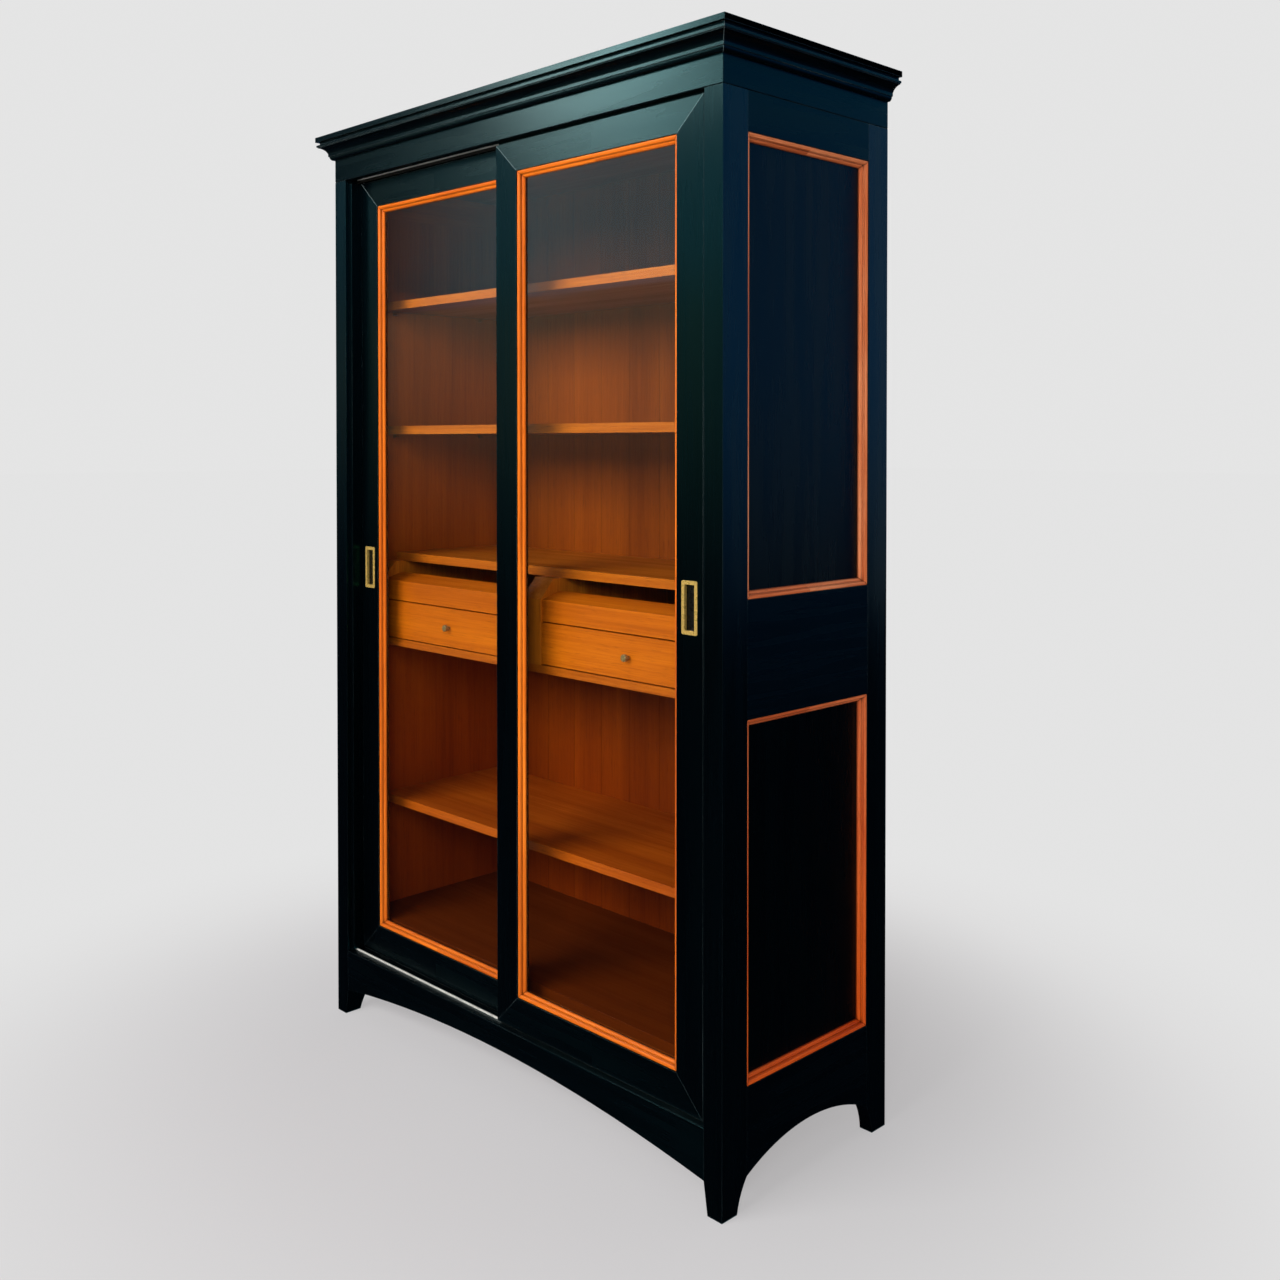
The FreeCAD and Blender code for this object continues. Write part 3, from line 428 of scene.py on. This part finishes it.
def bead_wood(name, bead):
    surface = Surface(name)
    low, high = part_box(bead)
    inset = high.y - low.y
    across_span = (low.x + inset, high.x - inset)
    up_span = (low.z + inset, high.z - inset)
    place, _, line = mitred_place(surface, "X", across_span, up_span)
    across = outside(surface, surface.x, low.x, high.x)
    up = outside(surface, surface.z, low.z, high.z)
    # Painted shade along the stick's edges and middle step, with the dark mitre joints.
    line = surface.math("MAXIMUM", line, stick_shade_lines(surface, across, up, BEAD_WIDTH))
    wood = oiled_wood(surface, place, BEAD_TONES, **STICK_FIGURE, rough=0.36, line=line)
    return surface.finish(wood)


def moulding_wood(name, side):
    """The rings round the upper and the lower side panel."""
    surface = Surface(name)
    low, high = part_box(f"panel_mouldings_{side}")
    middle_low, middle_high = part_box(f"side_rail_middle_{side}")
    upper = surface.math("GREATER_THAN", surface.z, (middle_low.z + middle_high.z) / 2)
    foot = surface.math("MULTIPLY_ADD", upper, middle_high.z - low.z, low.z)
    head = surface.math("MULTIPLY_ADD", upper, high.z - middle_low.z, middle_low.z)
    inset = high.x - low.x
    across_span = (low.y + inset, high.y - inset)
    up_span = (surface.math("ADD", foot, inset), surface.math("SUBTRACT", head, inset))
    place, _, line = mitred_place(surface, "Y", across_span, up_span)
    across = outside(surface, surface.y, low.y, high.y)
    up = outside(surface, surface.z, foot, head)
    # Painted shade along the stick's edges and middle step, with the dark mitre joints.
    line = surface.math("MAXIMUM", line, stick_shade_lines(surface, across, up, MOULDING_WIDTH))
    wood = oiled_wood(surface, place, MOULDING_TONES, **STICK_FIGURE, rough=0.32, line=line,
                      foot=MOULDING_FOOT)
    return surface.finish(wood)


def cornice_lacquer(name):
    """Grain along X in front and along Y on the sides, with the mitres between them."""
    surface = Surface(name)
    low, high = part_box("frieze_front")
    ahead = surface.math("SUBTRACT", low.y, surface.y)
    aside = surface.math("SUBTRACT", surface.math("ABSOLUTE", surface.x), high.x)
    lead = surface.math("SUBTRACT", ahead, aside)
    in_front = surface.math("GREATER_THAN", lead, 0.0)
    line = surface.step(surface.math("ABSOLUTE", lead), *CORNICE_LINE)
    place = surface.choose(in_front, grain_place(surface, "Y"), grain_place(surface, "X"))
    grain = surface.choose(in_front, GRAIN["Y"], GRAIN["X"])
    return surface.finish(lacquer(surface, place, grain, line, wear_and_highlight=0.9))


def brass(name, colour, dull, face=None):
    """Aged brass. Where the place of a pull's face along Y is given, its recess has gone dark."""
    surface = Surface(name)
    cloud = surface.noise(surface.place, detail=5.0, roughness=0.65, scale=90.0)
    scratches = surface.noise(surface.stretched(surface.place, 2400.0, 130.0))
    tarnish = surface.step(cloud, 0.45, 0.72, to_low=0.0, to_high=dull)
    tone = surface.mix(tarnish, toned(colour), toned(colour, 0.22))
    rough = surface.step(cloud, 0.35, 0.75, to_low=0.24, to_high=0.46)
    metal = 0.5
    if face is not None:
        deep = surface.step(surface.y, *(face + depth for depth in PULL_DEPTHS))
        tone = surface.mix(deep, tone, toned(PULL_DARK))
        metal = surface.math("MULTIPLY", metal, surface.math("SUBTRACT", 1.0, deep))
    normal = surface.bump(scratches, strength=0.05, distance=0.0003, normal=surface.bevel(0.0006))
    return surface.finish(surface.principled(Base_Color=tone, Metallic=metal, Roughness=rough,
                                             Normal=normal))


def satin_metal(name, colour, rough, axis, dark_below=None):
    """Metal drawn along an axis, and dark below a height where one is given."""
    surface = Surface(name)
    lines = surface.noise(surface.stretched(grain_place(surface, axis), 1600.0, 12.0), detail=3.0)
    dust = surface.noise(surface.place, detail=4.0, scale=60.0)
    dusty = surface.step(dust, 0.4, 0.75, to_low=0.0, to_high=0.5)
    tone = surface.mix(dusty, toned(colour), toned(colour, 0.6))
    if dark_below is not None:
        above = surface.step(surface.z, dark_below, dark_below + 0.0006)
        tone = surface.mix(above, toned(GUIDE_DARK), tone)
    roughness = surface.step(lines, 0.3, 0.7, to_low=rough - 0.08, to_high=rough + 0.10)
    normal = surface.bump(lines, strength=0.06, distance=0.0003, normal=surface.bevel(0.0005))
    return surface.finish(surface.principled(Base_Color=tone, Metallic=0.2, Roughness=roughness,
                                             Normal=normal))


def clear_glass(name):
    """A clear pane that lets lamps through, with faint smears in its gloss."""
    surface = Surface(name)
    smears = surface.noise(surface.stretched(surface.place, 4.0, 1.4), detail=5.0, roughness=0.6)
    rough = surface.step(smears, 0.45, 0.75, to_low=0.02, to_high=0.10)
    waves = surface.noise(surface.place, detail=1.0, scale=5.0)
    ripple = surface.bump(waves, strength=0.02, distance=0.002)
    inputs = {"Color": toned(GLASS_GLOSS), "Roughness": rough, "Normal": ripple}
    gloss = surface.add("BsdfGlossy", inputs)
    clear = surface.add("BsdfTransparent", {"Color": toned(GLASS_CLEAR)})
    front = surface.math("SUBTRACT", 1.0, surface.add("NewGeometry", {}, "Backfacing"))
    share = surface.math("MULTIPLY", surface.add("Fresnel", {"IOR": GLASS_IOR}), front)
    return surface.finish(surface.either(share, clear, gloss))


def dress(material, *names):
    for name in names:
        for slot in nodes[name].material_slots:
            slot.material = material


lacquer_x = plain_lacquer("lacquer_level", "X")
lacquer_y = plain_lacquer("lacquer_deep", "Y")
lacquer_z = plain_lacquer("lacquer_upright", "Z")
lined_y = lined_lacquer("lacquer_lined_deep", "Y")
lined_z = lined_lacquer("lacquer_lined_upright", "Z")
lined_post = lined_lacquer("lacquer_lined_post", "Z", post=True)
shelf_wood = shelf_board("shelf_wood")
drawer_wood = plain_wood("drawer_wood", "X", DRAWER_TONES)
upright_wood = plain_wood("upright_wood", "Z", SHELF_TONES)
inner_wood = plain_wood("inner_wood", "X", INNER_TONES)
floor_wood = plain_wood("floor_wood", "X", FLOOR_TONES)
grey_metal = satin_metal("grey_metal", TRACK_COLOUR, 0.36, "X")
steel = satin_metal("roller_steel", ROLLER_COLOUR, 0.30, "Y")
strip_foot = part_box("door_guide")[1].z - GUIDE_STRIP
guide_metal = satin_metal("guide_metal", GUIDE_COLOUR, 0.36, "X", strip_foot)
knob_brass = brass("knob_brass", KNOB_COLOUR, 0.8)

dress(lacquer_x, "frieze_front", "front_apron", "door_sill", "cap_board", "header_board")
dress(lacquer_y, "frieze_sides")
dress(cornice_lacquer("lacquer_cornice"), "cornice")
dress(lacquer_z, "door_stops")
dress(post_lacquer("lacquer_post"), *(f"post_front_{side}" for side in SIDES))
for level in ("top", "middle", "arched"):
    dress(lined_y, *(f"side_rail_{level}_{side}" for side in SIDES))
dress(lined_z, *(f"side_panels_{side}" for side in SIDES))
dress(lined_post, *(f"post_rear_{side}" for side in SIDES))
dress(shelf_wood, "shelf_upper", "shelf_middle", "shelf_desk", "shelf_lower", "drawer_case_bottom")
dress(upright_wood, "drawer_case_uprights")
dress(drawer_wood, "drawer_fascias", "drawer_slope_boards")
dress(floor_wood, "bottom_board")
dress(inner_wood, "top_board", "frieze_rear", "floor_bearer_front", "floor_bearer_rear",
      "drawer_case_bearers", "shelf_pegs")
dress(board_wood("back_board_wood", "back_boards", BACK_BOARDS), "back_boards")
dress(grey_metal, "door_tracks")
dress(guide_metal, "door_guide")
for side in SIDES:
    door, bead = f"door_{side}_frame", f"door_{side}_bead"
    dress(moulding_wood(f"moulding_wood_{side}", side), f"panel_mouldings_{side}")
    dress(door_lacquer(f"lacquer_door_{side}", door, bead), door)
    dress(bead_wood(f"bead_wood_{side}", bead), bead)
    pull_brass = brass(f"pull_brass_{side}", PULL_COLOUR, 0.4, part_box(door)[0].y)
    dress(pull_brass, f"door_{side}_pull")
    dress(clear_glass(f"glass_{side}"), f"door_{side}_glass")
    dress(grey_metal, f"door_{side}_roller_housings")
    dress(steel, f"door_{side}_roller_a", f"door_{side}_roller_b")
    dress(drawer_wood, f"drawer_{side}_front", f"drawer_{side}_box")
    dress(knob_brass, f"drawer_{side}_knob")


def added(name, data):
    """A new object in the scene."""
    thing = bpy.data.objects.new(name, data)
    bpy.context.scene.collection.objects.link(thing)
    return thing


def shape(name, corners, faces, material):
    """A new mesh object of one material."""
    mesh = bpy.data.meshes.new(name)
    mesh.from_pydata(corners, [], faces)
    mesh.materials.append(material)
    return added(name, mesh)


# Loose tongues that close the seams between the back boards.
BOX_FACES = ((3, 2, 1, 0), (4, 5, 6, 7), (0, 1, 5, 4), (1, 2, 6, 5), (2, 3, 7, 6), (3, 0, 4, 7))
low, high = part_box("back_boards")
pitch = (high.x - low.x + BACK_SEAM) / BACK_BOARDS
third = (high.y - low.y) / 3
corners = []
faces = []
for number in range(1, BACK_BOARDS):
    edge = low.x + number * pitch
    first = len(corners)
    for z in (low.z, high.z):
        for x, y in ((edge - BACK_SEAM, low.y + third), (edge, low.y + third),
                     (edge, high.y - third), (edge - BACK_SEAM, high.y - third)):
            corners.append((x, y, z))
    for face in BOX_FACES:
        faces.append([first + corner for corner in face])
tongues = shape("back_tongues", corners, faces, plain_wood("tongue_wood", "Z", FLOOR_TONES))
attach(tongues, "carcase")


def emitter(name, colour, strength, fade=()):
    """A glow. Each fade has an axis and the places on it where the glow is nothing and is full."""
    surface = Surface(name)
    along = {"X": surface.x, "Z": surface.z}
    level = strength
    for axis, dark, full in fade:
        level = surface.math("MULTIPLY", level, surface.step(along[axis], dark, full))
    return surface.finish(surface.add("Emission", {"Color": toned(colour), "Strength": level}))


def card(name, corners, colour, strength, fade=()):
    """A studio card that only reflections see."""
    glow = emitter(name + "_face", colour, strength, fade)
    thing = shape(name, corners, [range(len(corners))], glow)
    thing.visible_camera = False
    thing.visible_diffuse = False
    thing.visible_transmission = False
    thing.visible_shadow = False
    return thing


def level_card(name, x_span, y_span, z, colour):
    (x0, x1), (y0, y1) = x_span, y_span
    return card(name, [(x0, y0, z), (x1, y0, z), (x1, y1, z), (x0, y1, z)], colour, 1.0)


def front_card(name, x_span, y, z_span, colour, strength, *fade):
    (x0, x1), (z0, z1) = x_span, z_span
    return card(name, [(x0, y, z0), (x1, y, z0), (x1, y, z1), (x0, y, z1)], colour, strength, fade)


def side_card(name, x, y_span, z_span, colour, strength, *fade):
    (y0, y1), (z0, z1) = y_span, z_span
    return card(name, [(x, y0, z0), (x, y1, z0), (x, y1, z1), (x, y0, z1)], colour, strength, fade)


# The studio's walls: where they stand, and the heights at which their upper parts begin.
FRONT_Y = -3.70
FRONT_SPAN = (-14.0, 14.0)
FRONT_TURN = 2.3
SIDE_X = 5.0
SIDE_SPAN = (-3.0, 12.0)
SIDE_TURN = 4.5
SIDE_BLUE = (0.02, 0.16, 0.40)
SIDE_FADE = ("Z", -0.4, 2.2)

# Reflection cards: a dark floor, a wall in front that brightens upwards, a sheen for the crown and
# blue walls at the sides.
level_card("flag_floor", (-9.0, 9.0), (FRONT_Y, 9.0), 0.0015, (0.006, 0.008, 0.014))
front_card("wall_front", FRONT_SPAN, FRONT_Y, (0.0, FRONT_TURN), (0.75, 0.78, 0.56), 0.80,
           ("Z", 0.3, 2.8), ("X", -9.0, -3.8))
front_card("wall_front_top", FRONT_SPAN, FRONT_Y, (FRONT_TURN, 9.0), (0.53, 0.86, 0.92), 1.0,
           ("Z", 1.2, 2.6), ("X", -6.5, -3.8))
front_card("sheen_front", (-4.9, -2.2), -3.60, (3.3, 5.2), (1.1, 0.88, 0.80), 31.0,
           ("Z", 3.3, 3.8), ("X", -4.7, -3.7), ("X", -2.3, -3.4))
side_card("wall_side", SIDE_X, SIDE_SPAN, (0.0, SIDE_TURN), SIDE_BLUE, 1.0, SIDE_FADE)
side_card("wall_side_left", -6.5, (-2.5, 12.0), (0.0, 8.0), SIDE_BLUE, 1.0, SIDE_FADE)
side_card("wall_side_top", SIDE_X, SIDE_SPAN, (SIDE_TURN, 10.0), (0.03, 0.42, 0.60), 1.0)

# A shade that only the lamps see. It keeps their light out of the top compartment.
shade = front_card("shade_top", (-0.62, 0.62), -0.150, (1.80, 2.035), (0.0, 0.0, 0.0), 0.0)
shade.visible_glossy = False
shade.visible_shadow = True


def lamp(name, place, target, size, power, colour=WHITE):
    """A soft rectangular lamp aimed at a point. Reflections don't show it."""
    light = bpy.data.lights.new(name, "AREA")
    light.shape = "RECTANGLE"
    light.size, light.size_y = size
    light.energy = power
    light.color = colour
    thing = added(name, light)
    thing.location = place
    aim = [target[index] - place[index] for index in range(3)]
    tilt = math.acos(-aim[2] / math.dist(place, target))
    turn = math.atan2(-aim[0], aim[1])
    thing.rotation_euler = (tilt, 0.0, turn)
    thing.visible_glossy = False


lamp("key", (-0.3, -3.9, 2.7), (0.0, 0.0, 1.2), (3.4, 1.4), 200.0)
lamp("fill", (2.9, -3.0, 2.6), (0.4, 0.0, 1.0), (1.2, 1.6), 60.0, (0.97, 0.98, 1.0))

# World: pale where it is seen, softer where it only lights.
BACKDROP = (0.78, 0.78, 0.78)
AMBIENT = (0.22, 0.225, 0.235)
world = bpy.data.worlds.new("studio")
bpy.context.scene.world = world
world.use_nodes = True
tree = world.node_tree
tree.nodes.clear()
path = tree.nodes.new("ShaderNodeLightPath")
seen = path.outputs["Is Camera Ray"]
for kind in ("Is Glossy Ray", "Is Transmission Ray"):
    either = tree.nodes.new("ShaderNodeMath")
    either.operation = "MAXIMUM"
    tree.links.new(seen, either.inputs[0])
    tree.links.new(path.outputs[kind], either.inputs[1])
    seen = either.outputs[0]
backdrop = tree.nodes.new("ShaderNodeBackground")
backdrop.inputs["Color"].default_value = toned(BACKDROP)
ambient = tree.nodes.new("ShaderNodeBackground")
ambient.inputs["Color"].default_value = toned(AMBIENT)
choice = tree.nodes.new("ShaderNodeMixShader")
tree.links.new(seen, choice.inputs[0])
tree.links.new(ambient.outputs[0], choice.inputs[1])
tree.links.new(backdrop.outputs[0], choice.inputs[2])
output = tree.nodes.new("ShaderNodeOutputWorld")
tree.links.new(choice.outputs[0], output.inputs[0])

# Floor: pale grey, with a painted shade that makes it a little darker round the case, and one with
# the backdrop far off. It is lit close to the case, and further off it glows as the backdrop does.
FLOOR_SIZE = 120
FLOOR_SHADED_NEAR = (0.645, 0.63, 0.635)
FLOOR_SPECK = (0.45, 0.45, 0.45)
NEAR_REACH = (0.6, 1.9)
GLOW_REACH = (0.5, 1.5)
GLOW_LEAST = 0.62
bpy.ops.mesh.primitive_plane_add(size=FLOOR_SIZE)
floor = bpy.context.object
floor.name = "floor"
surface = Surface("floor_paint")
distance = surface.add("VectorMath", {0: surface.place}, "Value", operation="LENGTH")
far = surface.step(distance, *NEAR_REACH)
# Painted shade: the floor is darker round the case.
tone = surface.mix(far, toned(FLOOR_SHADED_NEAR), toned(BACKDROP))
specks = surface.noise(surface.place, detail=4.0, scale=140.0)
tone = surface.covered(tone, specks, 0.04, toned(FLOOR_SPECK))
lit = surface.principled(Base_Color=tone, Roughness=0.8, Specular_IOR_Level=0.1)
glow = surface.add("Emission", {"Color": tone, "Strength": 1.0})
path = surface.add("LightPath", {}).node
seen = surface.math("MAXIMUM", path.outputs["Is Camera Ray"], path.outputs["Is Glossy Ray"])
seen = surface.math("MAXIMUM", seen, path.outputs["Is Transmission Ray"])
glowing = surface.step(distance, *GLOW_REACH, to_low=GLOW_LEAST, to_high=1.0)
share = surface.math("MULTIPLY", seen, glowing)
floor.data.materials.append(surface.finish(surface.either(share, lit, glow)))

# The camera that was solved from the photo.
CAMERA_PLACE = (2.2338, -2.0018, 1.4056)
CAMERA_DIP = 0.92
CAMERA_TURN = 45.56
camera = bpy.data.cameras.new("camera")
camera.lens = 37.52
camera.sensor_width = 36.0
camera.shift_y = -0.1374
viewer = added("camera", camera)
viewer.location = CAMERA_PLACE
viewer.rotation_euler = (math.radians(90.0 - CAMERA_DIP), 0.0, math.radians(CAMERA_TURN))
bpy.context.scene.camera = viewer
bpy.context.scene.view_settings.view_transform = "Standard"
